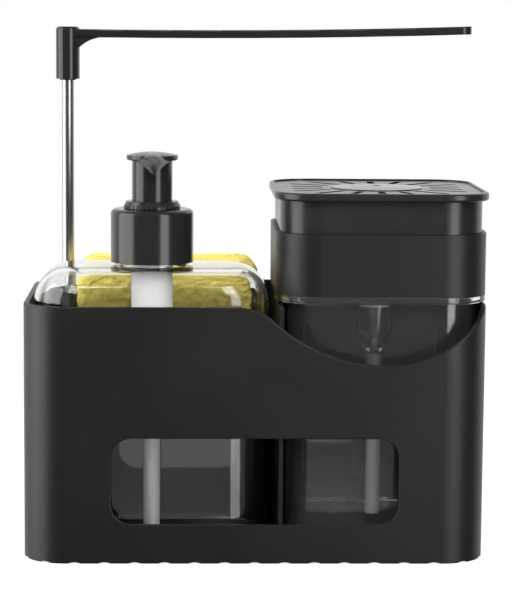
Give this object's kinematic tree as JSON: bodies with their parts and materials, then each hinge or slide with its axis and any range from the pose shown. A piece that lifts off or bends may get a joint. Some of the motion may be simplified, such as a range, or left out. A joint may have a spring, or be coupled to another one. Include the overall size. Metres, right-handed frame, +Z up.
{
  "type": "soap pump caddy",
  "caption": "Open-topped kitchen sink caddy holding a clear pump bottle, a clear jar with a press-down sponge tray, a sponge on a drain rack and a steel rod with a swinging towel arm.",
  "frame": {"origin": "middle of the caddy's footprint, on the surface it stands on", "axes": "+X to the right along the front, +Y to the rear, +Z up"},
  "size_m": [0.2177, 0.115, 0.2488],
  "materials": {
    "body_black": "satin",
    "trim_black": "gloss",
    "clear_plastic": "clear gloss",
    "white_plastic": "satin",
    "steel": "polished",
    "seal_rubber": "matt",
    "sponge_yellow": "open cell"
  },
  "bodies": {
    "caddy": {"caddy_body": "body_black", "sponge_rack": "body_black", "towel_rod": "steel"},
    "towel_arm": {"towel_arm": "trim_black", "arm_bush": "trim_black"},
    "sponge": {"sponge": "sponge_yellow"},
    "bottle": {"soap_bottle": "clear_plastic"},
    "pump": {"pump_cap": "trim_black", "pump_housing": "white_plastic", "pump_lock_ring": "trim_black", "pump_dip_tube": "clear_plastic", "pump_ball": "steel", "pump_spring": "steel", "bottle_gasket": "seal_rubber"},
    "pump_plunger": {"pump_stem": "white_plastic", "pump_piston": "white_plastic"},
    "pump_head": {"pump_head": "trim_black"},
    "jar": {"press_jar": "clear_plastic"},
    "press_pump": {"pump_deck": "trim_black", "deck_seal": "seal_rubber", "press_cylinder": "clear_plastic", "press_ball": "steel", "press_dip_tube": "clear_plastic", "stem_guide": "trim_black", "press_spring": "steel"},
    "press_cap": {"press_tray": "trim_black", "outlet_disc": "trim_black", "press_stem": "white_plastic", "press_piston": "white_plastic"}
  },
  "joints": [
    {"name": "towel_arm_swing", "type": "hinge", "parent": "caddy", "child": "towel_arm", "pos_m": [-0.0912, 0.04, 0.2345], "axis": [0, 0, 1], "continuous": true},
    {"name": "sponge_lift", "type": "slide", "parent": "caddy", "child": "sponge", "axis": [0, 0, 1], "range_m": [0, 0.075]},
    {"name": "bottle_lift", "type": "slide", "parent": "caddy", "child": "bottle", "axis": [0, 0, 1], "range_m": [0, 0.13]},
    {"name": "pump_lift", "type": "slide", "parent": "bottle", "child": "pump", "axis": [0, 0, 1], "range_m": [0, 0.08]},
    {"name": "pump_press", "type": "slide", "parent": "pump", "child": "pump_plunger", "axis": [0, 0, -1], "range_m": [0, 0.01], "stiffness_N_per_m": 400, "springref_m": -0.005, "deforming": ["pump_spring"]},
    {"name": "pump_head_turn", "type": "hinge", "parent": "pump_plunger", "child": "pump_head", "pos_m": [-0.0485, -0.02, 0.18], "axis": [0, 0, 1], "continuous": true},
    {"name": "jar_lift", "type": "slide", "parent": "caddy", "child": "jar", "axis": [0, 0, 1], "range_m": [0, 0.056]},
    {"name": "press_pump_lift", "type": "slide", "parent": "jar", "child": "press_pump", "axis": [0, 0, 1], "range_m": [0, 0.01]},
    {"name": "tray_press", "type": "slide", "parent": "press_pump", "child": "press_cap", "axis": [0, 0, -1], "range_m": [0, 0.012], "stiffness_N_per_m": 500, "springref_m": -0.008, "deforming": ["press_spring"]}
  ]
}
